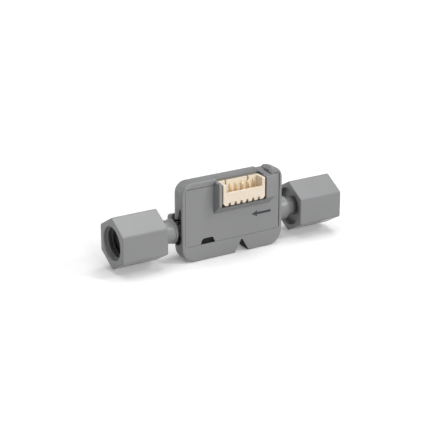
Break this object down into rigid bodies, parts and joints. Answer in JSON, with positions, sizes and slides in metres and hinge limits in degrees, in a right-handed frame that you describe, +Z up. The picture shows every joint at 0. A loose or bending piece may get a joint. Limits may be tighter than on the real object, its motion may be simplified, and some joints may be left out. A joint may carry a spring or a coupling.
{
  "type": "liquid flow sensor",
  "caption": "Inline liquid flow sensor with threaded hexagonal ports at both ends, a flat grey electronics housing round the middle and an upward-facing board connector.",
  "frame": {"origin": "middle of the whole part's footprint, on the surface that the housing's flat bottom stands on", "axes": "+X along the flow axis from outlet to inlet, +Y to the back, +Z up; the flow axis is 5.7 mm up and 0.45 mm behind the origin"},
  "size_m": [0.047, 0.0094, 0.0153],
  "materials": {
    "grey_moulding": "satin moulded engineering plastic, mid grey",
    "pale_nylon": "moulded natural nylon, cream",
    "gold_plate": "gold-plated contact strip",
    "tin_plate": "tin-plated solder tab",
    "green_board": "glass-fibre circuit board with solder mask",
    "silicon": "polished silicon die",
    "chip_plastic": "black moulded chip package",
    "ceramic_tan": "tan ceramic capacitor body",
    "ceramic_black": "black resistor body"
  },
  "bodies": {
    "root": {"flow_body": "grey_moulding", "housing": "grey_moulding", "back_cover": "grey_moulding", "front_cover": "grey_moulding", "circuit_board": "green_board", "sensor_die": "silicon", "signal_chip": "chip_plastic", "voltage_regulator": "chip_plastic", "capacitor_1": "ceramic_tan", "capacitor_2": "ceramic_tan", "capacitor_3": "ceramic_tan", "capacitor_4": "ceramic_tan", "resistor_1": "ceramic_black", "resistor_2": "ceramic_black", "resistor_3": "ceramic_black", "resistor_4": "ceramic_black", "connector_housing": "pale_nylon", "contact_1": "gold_plate", "contact_2": "gold_plate", "contact_3": "gold_plate", "contact_4": "gold_plate", "contact_5": "gold_plate", "contact_6": "gold_plate", "anchor_tab_left": "tin_plate", "anchor_tab_right": "tin_plate"}
  },
  "joints": []
}
